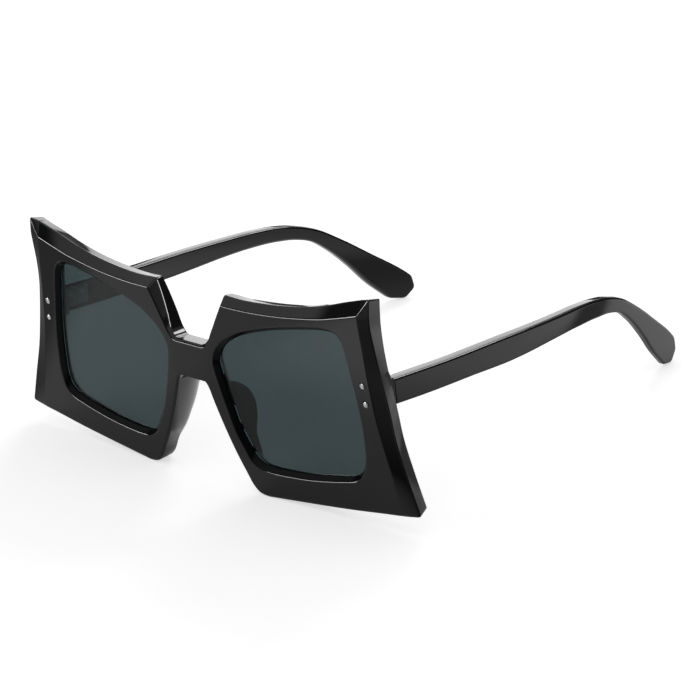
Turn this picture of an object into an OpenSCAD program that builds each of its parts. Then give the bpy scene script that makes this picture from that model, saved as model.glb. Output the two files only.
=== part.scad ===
// Oversized bat-wing sunglasses, open, standing on the feet of the rims and the tips of the temples.
// The front faces -Y, the temples run back along +Y, and the wearer's left is +X.
// Every side piece is drawn once, on the left, and mirrored for the right.

/* [Front] */
// Width of one rim, from the edge of the bridge to its bottom outer tip
rim_w = 73.4; // [70:0.2:78]
// Height of the rims, from the foot to the upper outer tip
rim_h = 66.2; // [62:0.2:72]
// Thickness of the front
rim_t = 5.8; // [5.4:0.1:7]
// Width of the flat bridge between the rims
bridge_w = 10; // [8:0.5:12]
// Depth of the wide bevel along the brow
bevel_d = 2.6; // [1.6:0.1:3]
// Backward wrap of each rim, in degrees
front_wrap = 3.5; // [2:0.5:5]
// Forward lean of the standing front, in degrees
front_lean = 2.4; // [1:0.2:4]
// Softening of the back edges
back_edge = 0.5; // [0.3:0.1:0.8]

/* [Lenses] */
// Thickness of a lens
lens_t = 1.8; // [1.4:0.1:2]
// Depth of the groove that holds a lens
groove_d = 0.7; // [0.5:0.1:0.8]
// Depth of the rim behind the groove
back_land = 2.1; // [1.5:0.1:3]
// Width of the sloping wall in front of a lens
lip_slope = 1.3; // [0.8:0.1:1.4]
// How much wider the window is behind the lens
rear_ease = 0.5; // [0.3:0.1:0.5]
// How far the window widens from there to the back
rear_flare = 1.4; // [0.5:0.1:1.6]
// Play of the lens in its groove
lens_play = 0.05; // [0.03:0.01:0.1]

/* [Nose pads] */
// How far a nose pad stands behind the front
pad_d = 5.7; // [4:0.1:7]

/* [Hinges] */
// Height of the stack of knuckles
hinge_h = 7.2; // [6.4:0.1:8]
// Radius of a knuckle
knuckle_r = 1.4; // [1.3:0.05:1.5]
// Gap between two knuckles
knuckle_gap = 0.08; // [0.05:0.01:0.12]
// Clearance of turning metal to what it passes
swing_gap = 0.1; // [0.08:0.01:0.2]
// Thickness of the leaf behind the rim
front_leaf_t = 0.6; // [0.5:0.05:0.7]
// Width of the leaf behind the rim
front_leaf_w = 3.2; // [3:0.1:3.3]
// Clearance between the groove of the lens and the leaf behind the rim
leaf_clear = 0.45; // [0.3:0.05:0.6]
// Radius of the hinge screw
screw_r = 0.65; // [0.6:0.01:0.7]
// Running clearance around the hinge screw
screw_play = 0.03; // [0.02:0.01:0.05]
// Radius of the screw's head
screw_head_r = 1.15; // [1:0.05:1.25]
// Height of the screw's head
screw_head_h = 0.65; // [0.5:0.05:0.8]

/* [Rivets] */
// Radius of a front rivet
rivet_r = 0.8; // [0.7:0.05:0.9]
// Distance between the two rivets of a hinge
rivet_pitch = 5.2; // [4.8:0.1:5.4]
// Sideways lean of the pair of rivets
rivet_lean = 0.6; // [0:0.1:0.8]
// Play of a rivet in its hole
rivet_play = 0.02; // [0.01:0.01:0.04]
// How far a rivet stands out of the front
rivet_proud = 0.12; // [0:0.02:0.2]
// Width of the shallow ring around a rivet
rivet_ring = 0.25; // [0.1:0.05:0.4]

/* [Temples] */
// Length of a temple along its run
temple_len = 141; // [130:1:150]
// Drop of the temple tip below the hinge, seen from the side
temple_drop = 35.6; // [30:0.2:40]
// Thickness of a temple
temple_t = 3.6; // [3.2:0.1:4]
// Inward curve of the temple at its tip
temple_hook = 13.8; // [8:0.2:18]
// Length of the leaf let into the temple
temple_leaf_len = 11; // [10:0.5:14]
// Height of the leaf let into the temple
temple_leaf_h = 5.4; // [5:0.1:5.6]
// Thickness of the leaf let into the temple
temple_leaf_t = 0.8; // [0.6:0.05:0.9]
// Length of the wire core
core_len = 62; // [40:1:66]
// Radius of the wire core
core_r = 0.6; // [0.5:0.05:0.7]
// Play of the wire core in its bore
core_play = 0.03; // [0.02:0.01:0.05]
// Radius of a leaf screw
leaf_screw_r = 0.4; // [0.35:0.05:0.45]
// Length of a leaf screw
leaf_screw_len = 2.6; // [2.2:0.1:2.9]

/* [Hidden] */

$fn = 48;
overrun = rim_t;
black_gloss = [0.10, 0.11, 0.11];
tinted = [0.27, 0.31, 0.31, 0.8];
steel = [0.82, 0.83, 0.84];

// Outline of a rim, clockwise from the top of the bridge as seen from the front. Each row holds the
// outer edge across, its height, its depth behind the face, then the face's own edge across and
// its height. Across is a share of rim_w, height of rim_h, and depth of bevel_d.
rim_shares = [
    // notch beside the bridge
    [0.000, 0.639, 0.19, 0.000, 0.631],
    [0.014, 0.644, 0.23, 0.015, 0.634],
    [0.026, 0.657, 0.35, 0.030, 0.648],
    [0.057, 0.730, 0.73, 0.067, 0.715],
    [0.089, 0.807, 1.04, 0.101, 0.784],
    [0.117, 0.873, 1.19, 0.131, 0.846],
    // hollow brow, rising to the upper tip
    [0.204, 0.876, 1.04, 0.211, 0.846],
    [0.300, 0.882, 1.00, 0.300, 0.847],
    [0.409, 0.891, 1.00, 0.409, 0.852],
    [0.518, 0.905, 1.00, 0.518, 0.861],
    [0.613, 0.926, 1.00, 0.613, 0.876],
    [0.715, 0.956, 0.92, 0.708, 0.899],
    // cut corner of the upper tip
    [0.807, 0.986, 0.77, 0.789, 0.921],
    [0.849, 1.000, 0.38, 0.794, 0.921],
    [0.853, 0.932, 0.15, 0.796, 0.914],
    // hollow outer side
    [0.843, 0.879, 0.19, 0.800, 0.870],
    [0.847, 0.796, 0.42, 0.809, 0.792],
    [0.860, 0.689, 0.58, 0.817, 0.686],
    [0.872, 0.616, 0.58, 0.824, 0.612],
    [0.890, 0.517, 0.54, 0.835, 0.512],
    [0.913, 0.390, 0.38, 0.858, 0.385],
    [0.955, 0.242, 0.23, 0.888, 0.237],
    // bottom outer tip and the long foot
    [1.000, 0.089, 0.15, 0.917, 0.089],
    [0.921, 0.074, 0.19, 0.910, 0.080],
    [0.837, 0.063, 0.19, 0.837, 0.071],
    [0.681, 0.042, 0.19, 0.681, 0.050],
    [0.545, 0.027, 0.19, 0.545, 0.035],
    [0.395, 0.012, 0.19, 0.395, 0.020],
    [0.300, 0.003, 0.19, 0.300, 0.011],
    // rounded inner corner
    [0.248, 0.000, 0.19, 0.251, 0.008],
    [0.213, 0.009, 0.19, 0.218, 0.016],
    [0.188, 0.033, 0.19, 0.195, 0.038],
    // side towards the nose
    [0.155, 0.094, 0.19, 0.162, 0.098],
    [0.117, 0.169, 0.19, 0.124, 0.174],
    [0.082, 0.251, 0.19, 0.089, 0.255],
    [0.052, 0.329, 0.19, 0.059, 0.334],
    [0.027, 0.402, 0.19, 0.034, 0.406],
    [0.014, 0.444, 0.19, 0.020, 0.450],
    [0.005, 0.464, 0.19, 0.008, 0.471],
    [0.000, 0.470, 0.19, 0.000, 0.477]
];

// Opening for the lens, clockwise from the upper outer corner: across and height, as above.
opening_shares = [
    [0.620, 0.841],
    [0.661, 0.840],
    [0.692, 0.825],
    [0.713, 0.793],
    [0.726, 0.740],
    [0.741, 0.650],
    [0.757, 0.551],
    [0.768, 0.453],
    [0.772, 0.355],
    [0.770, 0.279],
    [0.753, 0.221],
    [0.715, 0.184],
    [0.654, 0.165],
    [0.572, 0.147],
    [0.477, 0.131],
    [0.381, 0.122],
    [0.293, 0.119],
    [0.232, 0.127],
    [0.193, 0.154],
    [0.166, 0.202],
    [0.127, 0.279],
    [0.101, 0.363],
    [0.076, 0.453],
    [0.059, 0.529],
    [0.053, 0.582],
    [0.067, 0.625],
    [0.101, 0.671],
    [0.174, 0.724],
    [0.266, 0.763],
    [0.354, 0.790],
    [0.443, 0.811],
    [0.545, 0.831]
];

// Nose pad, one row a level from the top down: height, inner and outer foot on the rim, ridge
// across, and how far the ridge stands back as a share of pad_d.
pad_shares = [
    [0.431, 0.026, 0.075, 0.054, 0.45],
    [0.400, 0.035, 0.084, 0.076, 0.85],
    [0.347, 0.053, 0.098, 0.099, 1.00],
    [0.287, 0.075, 0.117, 0.112, 0.92],
    [0.227, 0.099, 0.144, 0.120, 0.68],
    [0.166, 0.125, 0.174, 0.131, 0.40],
    [0.115, 0.151, 0.185, 0.158, 0.12]
];
// Rounding of the pad: how far its flanks swell, as shares of the pad's own width and depth.
pad_flank_shares = [0.25, 0.55];
pad_ridge_share = 0.16;

// Side view of a temple from the hinge back: along as a share of temple_len, height of temple_drop.
temple_shares = [
    [-0.010, 0.098],
    [0.153, 0.081],
    [0.331, 0.083],
    [0.500, 0.078],
    [0.565, 0.075],
    [0.628, 0.058],
    [0.687, 0.016],
    [0.741, -0.057],
    [0.799, -0.183],
    [0.884, -0.397],
    [0.981, -0.658],
    [0.992, -0.695],
    [1.000, -0.813],
    [0.974, -0.900],
    [0.932, -0.869],
    [0.877, -0.686],
    [0.827, -0.481],
    [0.770, -0.279],
    [0.722, -0.155],
    [0.678, -0.102],
    [0.627, -0.074],
    [0.557, -0.065],
    [0.471, -0.077],
    [0.392, -0.096],
    [0.306, -0.110],
    [0.210, -0.116],
    [0.095, -0.119],
    [-0.010, -0.110]
];
temple_foot_row = 13;
hook_start_share = 0.34;
hook_steps = 14;

// Where the hinge sits on the rim, as shares of rim_w and rim_h
hinge_side_share = 0.753;
hinge_level_share = 0.583;

// Hinge: the pin's axis lies in the joint between the lug and the temple
knuckles = 5;
knuckle_h = (hinge_h - (knuckles - 1) * knuckle_gap) / knuckles;
pocket_sink = 0.3;
pocket_d = front_leaf_t + pocket_sink;
joint_d = rim_t - pocket_sink + knuckle_r + swing_gap;
temple_in = knuckle_r + swing_gap;
temple_out = temple_in + temple_t;
leaf_x = knuckle_r - swing_gap - front_leaf_w;
hinge_u = bridge_w / 2 + rim_w * hinge_side_share + groove_d + leaf_clear - leaf_x;
hinge_v = rim_h * hinge_level_share;
leaf_gap = 0.6;
recess_play = 0.05;
leaf_back = temple_in + temple_leaf_t;
leaf_y = leaf_gap;
leaf_screw_rise = 1.0;
core_fall = 1.5;
leaf_screw_places_share = [0.38, 0.78];
lug_top = hinge_h / 2 + leaf_gap / 2;
lug_slope = rim_t / 3;

// Backward shift of the wrapped front at a distance across from the middle
function wrap_y(u) = max(u - bridge_w / 2, 0) * tan(front_wrap);
function across(share) = bridge_w / 2 + rim_w * share;
function place(share, depth, height_share) =
    [across(share), wrap_y(across(share)) + depth, rim_h * height_share];

// Unit normal of a closed clockwise outline at one of its points, pointing outwards
function unit(v) = v / norm(v);
function outline_normal(points, i) =
    let (n = len(points), d = unit(points[(i + 1) % n] - points[(i + n - 1) % n]))
    [-d[1], d[0]];
function grown(points, by) =
    [for (i = [0 : len(points) - 1]) points[i] + by * outline_normal(points, i)];

// The four rings of a rim, from the face to the back
edge_outline = [for (r = rim_shares) [across(r[0]), rim_h * r[1]]];
back_outline = [
    for (p = grown(edge_outline, -back_edge)) [max(p[0], bridge_w / 2), p[1]]
];
face_ring = [for (r = rim_shares) place(r[3], 0, r[4])];
edge_ring = [for (r = rim_shares) place(r[0], bevel_d * r[2], r[1])];
side_ring = [for (r = rim_shares) place(r[0], rim_t - back_edge, r[1])];
back_ring = [for (p = back_outline) [p[0], wrap_y(p[0]) + rim_t, p[1]]];
rim_rings = [face_ring, edge_ring, side_ring, back_ring];
opening_outline = [for (r = opening_shares) [across(r[0]), rim_h * r[1]]];
window_outline = grown(opening_outline, -lip_slope);
groove_back = rim_t - back_land;
rear_land = 0.3;

// The whole front leans forward and its lowest edge stands at zero
function leaned(p) = [
    p[0],
    p[1] * cos(front_lean) - p[2] * sin(front_lean),
    p[1] * sin(front_lean) + p[2] * cos(front_lean)
];
front_low = min([for (p = concat(face_ring, edge_ring)) leaned(p)[2]]);
front_most = min([for (p = concat(face_ring, edge_ring)) leaned(p)[1]]);
hinge_raw = leaned([hinge_u, wrap_y(hinge_u) + joint_d, hinge_v]);

// The temples tilt down until their tips stand at zero too
hinge_z = hinge_raw[2] - front_low;
foot_share = temple_shares[temple_foot_row];
foot_run = temple_len * foot_share[0];
foot_fall = -temple_drop * foot_share[1];
temple_tilt = asin(hinge_z / norm([foot_run, foot_fall])) - atan2(foot_fall, foot_run);
temple_points = [for (s = temple_shares) [temple_len * s[0], temple_drop * s[1]]];
temple_end = hinge_raw[1]
    + max([for (p = temple_points) p[0] * cos(temple_tilt) + p[1] * sin(temple_tilt)]);
middle_y = (front_most + temple_end) / 2;

module front_place() {
    translate([0, -middle_y, -front_low]) rotate([front_lean, 0, 0]) children();
}

module hinge_place() {
    front_place() translate([hinge_u, wrap_y(hinge_u) + joint_d, hinge_v]) children();
}

module temple_place() {
    translate([hinge_raw[0], hinge_raw[1] - middle_y, hinge_z]) rotate([-temple_tilt, 0, 0]) children();
}

module in_temple_from_hinge() {
    rotate([front_lean + temple_tilt, 0, 0]) children();
}

module on_right() {
    mirror([1, 0, 0]) children();
}

// Solid between rings of points that follow each other
module loft(rings) {
    n = len(rings[0]);
    last = len(rings) - 1;
    first_cap = [for (i = [0 : n - 1]) i];
    last_cap = [for (i = [n - 1 : -1 : 0]) last * n + i];
    walls = [
        for (k = [0 : last - 1])
            for (i = [0 : n - 1])
                let (j = (i + 1) % n)
                for (face = [[k * n + i, (k + 1) * n + i, (k + 1) * n + j], [k * n + i, (k + 1) * n + j, k * n + j]])
                    face
    ];
    polyhedron(points = [for (ring = rings) each ring], faces = concat([first_cap, last_cap], walls));
}

// Prism of an outline that lies in the front's plane, from one depth to another
module through_front(outline, from_d, to_d) {
    translate([0, to_d, 0]) rotate([90, 0, 0]) linear_extrude(height = to_d - from_d) polygon(outline);
}

// Slab that follows the wrap of the front, between two depths
module wrapped_slab(from_d, to_d) {
    u_end = bridge_w / 2 + rim_w;
    plan = [
        [bridge_w / 2, from_d],
        [u_end, wrap_y(u_end) + from_d],
        [u_end, wrap_y(u_end) + to_d],
        [bridge_w / 2, to_d]
    ];
    linear_extrude(height = rim_h) polygon(plan);
}

module lens_solid(play) {
    intersection() {
        through_front(grown(window_outline, groove_d - lens_play + play), -overrun, overrun + wrap_y(rim_w) + rim_t);
        wrapped_slab(groove_back - lens_t - play, groove_back + play);
    }
}

function depth_ring(outline, depth) = [for (p = outline) [p[0], wrap_y(p[0]) + depth, p[1]]];

// Space of a window: a slope down to the lens, the lens's own place, and a flare to the back
module window_space() {
    middle = groove_back - lens_t / 2;
    flare_run = back_land - rear_land;
    loft([
        depth_ring(grown(opening_outline, overrun), -overrun),
        depth_ring(window_outline, lip_slope),
        depth_ring(window_outline, middle),
        depth_ring(grown(window_outline, rear_ease), middle),
        depth_ring(grown(window_outline, rear_ease), groove_back + rear_land),
        depth_ring(grown(window_outline, rear_ease + rear_flare * (1 + overrun / flare_run)), rim_t + overrun)
    ]);
}

// Cylinder along the depth of the front, from one depth to another
module depth_pin(r, from_y, to_y) {
    translate([0, from_y, 0]) rotate([-90, 0, 0]) cylinder(r = r, h = to_y - from_y);
}

module at_rivet(end) {
    translate([-end * rivet_lean / 2, 0, end * rivet_pitch / 2]) children();
}

module rim_blank() {
    difference() {
        loft(rim_rings);
        window_space();
        lens_solid(lens_play);
    }
}

// Bridge with the same section as the rims have where they meet it
module bridge() {
    first = 0;
    last = len(rim_rings[0]) - 1;
    section = concat(
        [for (ring = rim_rings) [ring[first][1], ring[first][2]]],
        [for (k = [len(rim_rings) - 1 : -1 : 0]) [rim_rings[k][last][1], rim_rings[k][last][2]]]
    );
    translate([-bridge_w / 2, 0, 0]) rotate([90, 0, 90]) linear_extrude(height = bridge_w) polygon(section);
}

// Lug behind the rim that the temple closes against
module lug() {
    root = -joint_d + rim_t - back_edge;
    profile = [
        [root, lug_top + lug_slope],
        [-lug_slope / 2, lug_top],
        [0, lug_top - back_edge],
        [0, back_edge - lug_top],
        [-lug_slope / 2, -lug_top],
        [root, -lug_top - lug_slope]
    ];
    translate([temple_in, 0, 0]) rotate([90, 0, 90]) linear_extrude(height = temple_t) polygon(profile);
}

module hinge_pocket() {
    rotate([0, 0, front_wrap])
        translate([leaf_x - recess_play, -joint_d + rim_t - pocket_d, -lug_top])
            cube([front_leaf_w + recess_play + 3 * swing_gap, overrun, 2 * lug_top]);
}

module rim_side() {
    difference() {
        union() {
            front_place() rim_blank();
            hinge_place() lug();
        }
        hinge_place() {
            difference() {
                hinge_pocket();
                translate([temple_in, -overrun, -rim_h]) cube([rim_w, 2 * overrun, 2 * rim_h]);
            }
            for (end = [-1, 1])
                at_rivet(end) {
                    depth_pin(rivet_r + rivet_play, -joint_d - overrun, 0);
                    depth_pin(rivet_r + rivet_ring, -joint_d - overrun, -joint_d + rivet_ring);
                }
        }
    }
}

module front_frame() {
    color(black_gloss) union() {
        front_place() bridge();
        rim_side();
        on_right() rim_side();
    }
}

function pad_ring(row) =
    let (
        z = row[0],
        inner = across(row[1]),
        outer = across(row[2]),
        ridge = across(row[3]),
        d = pad_d * row[4],
        swell = pad_flank_shares[0] * (outer - inner),
        flank = pad_flank_shares[1] * d,
        round_in = pad_ridge_share * (outer - inner)
    )
    [
        for (q = [
            [inner, 0],
            [inner + (ridge - inner) * pad_flank_shares[1] - swell / 2, flank],
            [ridge - round_in, d * (1 - pad_ridge_share / 2)],
            [ridge, d],
            [ridge + round_in, d * (1 - pad_ridge_share)],
            [max(outer, ridge) - swell / 4, flank],
            [outer, 0]
        ]) [q[0], wrap_y(q[0]) + rim_t + q[1], rim_h * z]
    ];

module nose_pad() {
    color(black_gloss) front_place() loft([for (row = pad_shares) pad_ring(row)]);
}

module lens() {
    color(tinted) front_place() lens_solid(0);
}

module knuckle(i) {
    translate([0, 0, -hinge_h / 2 + i * (knuckle_h + knuckle_gap)]) children();
}

module screw_bore() {
    translate([0, 0, -hinge_h]) cylinder(r = screw_r + screw_play, h = 2 * hinge_h);
}

module front_hinge() {
    plate_y = -knuckle_r - swing_gap - front_leaf_t;
    web_w = knuckle_r * 1.5;
    color(steel) hinge_place() difference() {
        union() {
            rotate([0, 0, front_wrap])
                translate([leaf_x, plate_y, -lug_top + recess_play])
                    cube([front_leaf_w, front_leaf_t, 2 * (lug_top - recess_play)]);
            for (i = [0 : 2 : knuckles - 1])
                knuckle(i) {
                    cylinder(r = knuckle_r, h = knuckle_h);
                    translate([-web_w / 2, plate_y + front_leaf_t / 2, 0])
                        cube([web_w, -plate_y - front_leaf_t / 2, knuckle_h]);
                }
        }
        screw_bore();
        for (end = [-1, 1]) at_rivet(end) depth_pin(rivet_r + rivet_play, plate_y - overrun, plate_y + front_leaf_t + swing_gap / 2);
    }
}

module rivet(end) {
    back = -knuckle_r - swing_gap;
    color(steel) hinge_place() at_rivet(end) depth_pin(rivet_r, -joint_d - rivet_proud, back);
}

module hinge_screw() {
    slot_w = screw_r / 2;
    color(steel) hinge_place() difference() {
        union() {
            translate([0, 0, -hinge_h / 2]) cylinder(r = screw_r, h = hinge_h);
            translate([0, 0, hinge_h / 2]) cylinder(r = screw_head_r, h = screw_head_h);
        }
        translate([-screw_head_r, -slot_w / 2, hinge_h / 2 + screw_head_h / 2])
            cube([2 * screw_head_r, slot_w, screw_head_h]);
    }
}

// Leaf let into the inner face of the temple, with room around it when play is more than zero
module leaf_blank(play) {
    translate([temple_in - play, leaf_y - play, -temple_leaf_h / 2 - play])
        cube([temple_leaf_t + 2 * play, temple_leaf_len - leaf_y + 2 * play, temple_leaf_h + 2 * play]);
}

module at_leaf_screw(place_share) {
    translate([temple_in, temple_leaf_len * place_share, leaf_screw_rise]) rotate([0, 90, 0]) children();
}

module leaf_screw_bores() {
    for (place_share = leaf_screw_places_share)
        at_leaf_screw(place_share) {
            translate([0, 0, -overrun]) cylinder(r = leaf_screw_r + rivet_play, h = overrun + leaf_screw_len + rivet_play);
            translate([0, 0, -overrun]) cylinder(r = 2 * leaf_screw_r + rivet_play, h = overrun + temple_leaf_t / 2);
        }
}

module temple_hinge() {
    color(steel) temple_place() difference() {
        union() {
            leaf_blank(0);
            in_temple_from_hinge() for (i = [1 : 2 : knuckles - 1])
                knuckle(i) {
                    cylinder(r = knuckle_r, h = knuckle_h);
                    translate([0, swing_gap, 0]) cube([leaf_back, knuckle_r + leaf_gap / 2, knuckle_h]);
                }
        }
        in_temple_from_hinge() screw_bore();
        leaf_screw_bores();
    }
}

module leaf_screw(place_share) {
    head_h = temple_leaf_t / 2 - rivet_play;
    color(steel) temple_place() at_leaf_screw(place_share) {
        cylinder(r = leaf_screw_r, h = leaf_screw_len);
        cylinder(r = 2 * leaf_screw_r, h = head_h);
    }
}

module at_core() {
    translate([(temple_in + temple_out) / 2, leaf_gap, -core_fall]) rotate([-90, 0, 0]) children();
}

// Inward curve of the temple, seen from above, at a distance from the hinge
function hook(y) =
    let (start = temple_len * hook_start_share, t = max(y - start, 0) / (temple_len - start))
    -temple_hook * t * t;

module temple() {
    rows = [for (i = [0 : hook_steps])
        let (share = hook_start_share + (1 - hook_start_share) * i / hook_steps)
        temple_len * share];
    end_y = temple_len + temple_t;
    ys = concat([-temple_t], rows, [end_y]);
    plan = concat(
        [for (y = ys) [temple_in + hook(y), y]],
        [for (k = [len(ys) - 1 : -1 : 0]) [temple_out + hook(ys[k]), ys[k]]]
    );
    color(black_gloss) temple_place() difference() {
        intersection() {
            translate([-temple_hook, 0, 0]) rotate([90, 0, 90])
                linear_extrude(height = temple_hook + temple_out + overrun) polygon(temple_points);
            translate([0, 0, -temple_drop]) linear_extrude(height = 2 * temple_drop) polygon(plan);
        }
        in_temple_from_hinge()
            translate([-rim_w, -rim_w + swing_gap, -rim_w]) cube([2 * rim_w, rim_w, 2 * rim_w]);
        leaf_blank(recess_play);
        in_temple_from_hinge()
            translate([temple_in - temple_t, -leaf_gap, -hinge_h / 2 - recess_play])
                cube([leaf_back + recess_play - temple_in + temple_t, knuckle_r + 2 * leaf_gap, hinge_h + 2 * recess_play]);
        leaf_screw_bores();
        at_core() translate([0, 0, -leaf_gap - swing_gap - temple_t])
            cylinder(r = core_r + core_play, h = core_len + core_play + leaf_gap + swing_gap + temple_t);
    }
}

module temple_core() {
    color(steel) temple_place() at_core() cylinder(r = core_r, h = core_len);
}

front_frame();
nose_pad();  // nose_pad_left
on_right() nose_pad();  // nose_pad_right
lens();  // lens_left
on_right() lens();  // lens_right
front_hinge();  // front_hinge_left
on_right() front_hinge();  // front_hinge_right
rivet(1);  // rivet_upper_left
on_right() rivet(1);  // rivet_upper_right
rivet(-1);  // rivet_lower_left
on_right() rivet(-1);  // rivet_lower_right
hinge_screw();  // hinge_screw_left
on_right() hinge_screw();  // hinge_screw_right
temple_hinge();  // temple_hinge_left
on_right() temple_hinge();  // temple_hinge_right
leaf_screw(leaf_screw_places_share[0]);  // leaf_screw_front_left
on_right() leaf_screw(leaf_screw_places_share[0]);  // leaf_screw_front_right
leaf_screw(leaf_screw_places_share[1]);  // leaf_screw_rear_left
on_right() leaf_screw(leaf_screw_places_share[1]);  // leaf_screw_rear_right
temple();  // temple_left
on_right() temple();  // temple_right
temple_core();  // temple_core_left
on_right() temple_core();  // temple_core_right
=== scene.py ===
# %% [markdown]
# # Oversized sunglasses
#
# A pair of black sunglasses stands on the feet of its rims and the tips of its temples. The packed
# CAD model gives every piece its place. This lesson dresses it: smoother shapes with softened edges
# where the CAD has plain ones, and a finish for each material. All lengths are written in
# millimetres, as on a workshop drawing, and become metres only when a mesh is made.

# %% Load the frame
import math

import bmesh
import bpy
from mathutils import Matrix, Vector
from mathutils.geometry import tessellate_polygon


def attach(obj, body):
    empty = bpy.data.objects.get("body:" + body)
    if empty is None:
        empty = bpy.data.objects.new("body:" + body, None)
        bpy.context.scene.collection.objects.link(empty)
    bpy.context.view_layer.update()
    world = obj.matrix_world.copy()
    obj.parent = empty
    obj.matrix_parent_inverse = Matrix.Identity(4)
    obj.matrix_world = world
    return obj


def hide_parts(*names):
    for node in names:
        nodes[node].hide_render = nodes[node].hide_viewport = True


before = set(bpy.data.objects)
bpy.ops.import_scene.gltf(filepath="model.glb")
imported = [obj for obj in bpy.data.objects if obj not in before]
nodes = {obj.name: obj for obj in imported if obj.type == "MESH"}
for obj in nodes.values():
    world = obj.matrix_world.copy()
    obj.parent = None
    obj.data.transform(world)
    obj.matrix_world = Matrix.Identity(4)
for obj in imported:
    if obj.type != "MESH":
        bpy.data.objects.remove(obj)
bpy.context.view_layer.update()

# %% [markdown]
# ## Sizes
#
# The pieces that are dressed keep the CAD model's own sizes. Repeating the few that matter here
# keeps the outlines and the hinge in step with the solids underneath.

# %% Sizes of the sunglasses
BRIDGE_W, RIM_W, RIM_H, RIM_T = 10.0, 73.4, 66.2, 5.8
BEVEL_D = 2.6
WRAP = math.radians(3.5)
LEAN = math.radians(2.4)
LENS_T, GROOVE_D, BACK_LAND, PLAY = 1.8, 0.7, 2.1, 0.05
LIP_SLOPE, REAR_EASE, REAR_FLARE, REAR_LAND = 1.3, 0.5, 1.4, 0.3
PAD_D = 6.0
HINGE_H, KNUCKLE_R, SWING = 7.2, 1.4, 0.1
LEAF_T, LEAF_W, LEAF_SINK, LEAF_CLEAR, LEAF_GAP = 0.6, 3.2, 0.3, 0.45, 0.6
RIVET_R, RIVET_PITCH, RIVET_LEAN, RIVET_PROUD, RIVET_RING, RIVET_DOME = 0.8, 5.2, 0.6, 0.12, 0.25, 0.15
TEMPLE_LEN, TEMPLE_DROP, TEMPLE_T, TEMPLE_HOOK, HOOK_START = 141.0, 35.6, 3.6, 13.8, 0.34
TEMPLE_LEAF_LEN, TEMPLE_LEAF_H, TEMPLE_LEAF_T = 11.0, 5.4, 0.8
CORE_LEN, CORE_R, CORE_FALL = 62.0, 0.6, 1.5
# The hinge's place as shares of the rim's width and height
HINGE_SIDE, HINGE_LEVEL = 0.753, 0.583
TEMPLE_IN = KNUCKLE_R + SWING
TEMPLE_OUT = TEMPLE_IN + TEMPLE_T
JOINT_D = RIM_T - LEAF_SINK + KNUCKLE_R + SWING
LEAF_X = KNUCKLE_R - SWING - LEAF_W
HINGE_U = BRIDGE_W / 2 + RIM_W * HINGE_SIDE + GROOVE_D + LEAF_CLEAR - LEAF_X
HINGE_V = RIM_H * HINGE_LEVEL
LUG_TOP = HINGE_H / 2 + LEAF_GAP / 2
FRONT_LOW, MIDDLE_Y = 0.0673, 73.271
TEMPLE_TILT = math.radians(2.89528)
print("hinge", round(HINGE_U, 2), "mm from the middle, joint", round(JOINT_D, 2), "mm behind the face")

# %% [markdown]
# ## From the drawing to the stand
#
# The front is drawn upright and flat, then leans forward a little as it stands. A temple is drawn
# from its hinge back, then tilts down until its tip rests. These functions carry a drawn point into
# the shared frame. `wrap` is how far the front curves back towards its sides.

# %% Places
def wrap(u):
    return max(abs(u) - BRIDGE_W / 2, 0.0) * math.tan(WRAP)


def front_point(u, depth, z):
    y = depth * math.cos(LEAN) - z * math.sin(LEAN) - MIDDLE_Y
    return Vector((u, y, depth * math.sin(LEAN) + z * math.cos(LEAN) - FRONT_LOW))


def hinge_point(x, y, z):
    return front_point(HINGE_U + x, wrap(HINGE_U) + JOINT_D + y, HINGE_V + z)


def temple_point(x, y, z):
    pivot = hinge_point(0.0, 0.0, 0.0)
    return pivot + Matrix.Rotation(-TEMPLE_TILT, 3, "X") @ Vector((x, y, z))


def flipped(put):
    """The same places on the other side."""
    def turned_over(x, y, z):
        p = put(x, y, z)
        return Vector((-p[0], p[1], p[2]))
    return turned_over


def new_object(name, data):
    made = bpy.data.objects.new(name, data)
    bpy.context.scene.collection.objects.link(made)
    return made


def new_mesh(name, points, faces=()):
    """A mesh from points in mm."""
    mesh = bpy.data.meshes.new(name)
    mesh.from_pydata([Vector(p) / 1000.0 for p in points], [], faces)
    return mesh


print("left hinge at", [round(v, 2) for v in hinge_point(0, 0, 0)], "mm")

# %% [markdown]
# ## Camera
#
# The photograph is taken from the wearer's left, about 45 degrees round and 20 degrees up, from
# some 0.8 m away with a long lens. The far rim looks clearly smaller than the near one, so the
# distance matters as much as the angle.

# %% Camera
def look(azimuth, elevation, roll):
    a, e, r = (math.radians(v) for v in (azimuth, elevation, roll))
    back = Vector((math.sin(a) * math.cos(e), -math.cos(a) * math.cos(e), math.sin(e)))
    right = Vector((math.cos(a), math.sin(a), 0.0))
    up = back.cross(right)
    return back, right * math.cos(r) + up * math.sin(r), up * math.cos(r) - right * math.sin(r)


IMAGE, SENSOR = 700, 36.0
FOCAL_PX = 2852.0
DISTANCE = 796.5
AIM_PX = (192.1, 379.1)
AIM_HEIGHT = 31.1
back, right, up = look(43.9, 18.4, -2.21)
aside, above = ((p - IMAGE / 2) * DISTANCE / FOCAL_PX for p in AIM_PX)
seen_tilt = Matrix.Rotation(-TEMPLE_TILT, 3, "X")
place = front_point(0.0, 0.0, AIM_HEIGHT) + seen_tilt @ (back * DISTANCE - right * aside + up * above)
turn = Matrix((seen_tilt @ right, seen_tilt @ up, seen_tilt @ back)).transposed()
camera = new_object("camera", bpy.data.cameras.new("camera"))
camera.data.sensor_width = SENSOR
camera.data.lens = FOCAL_PX / IMAGE * SENSOR
camera.data.clip_start, camera.data.clip_end = 0.01, 50.0
camera.matrix_world = Matrix.Translation(place / 1000.0) @ turn.to_4x4()
bpy.context.scene.camera = camera
print("camera", [round(v) for v in place], "mm, lens", round(camera.data.lens, 1), "mm")

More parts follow.
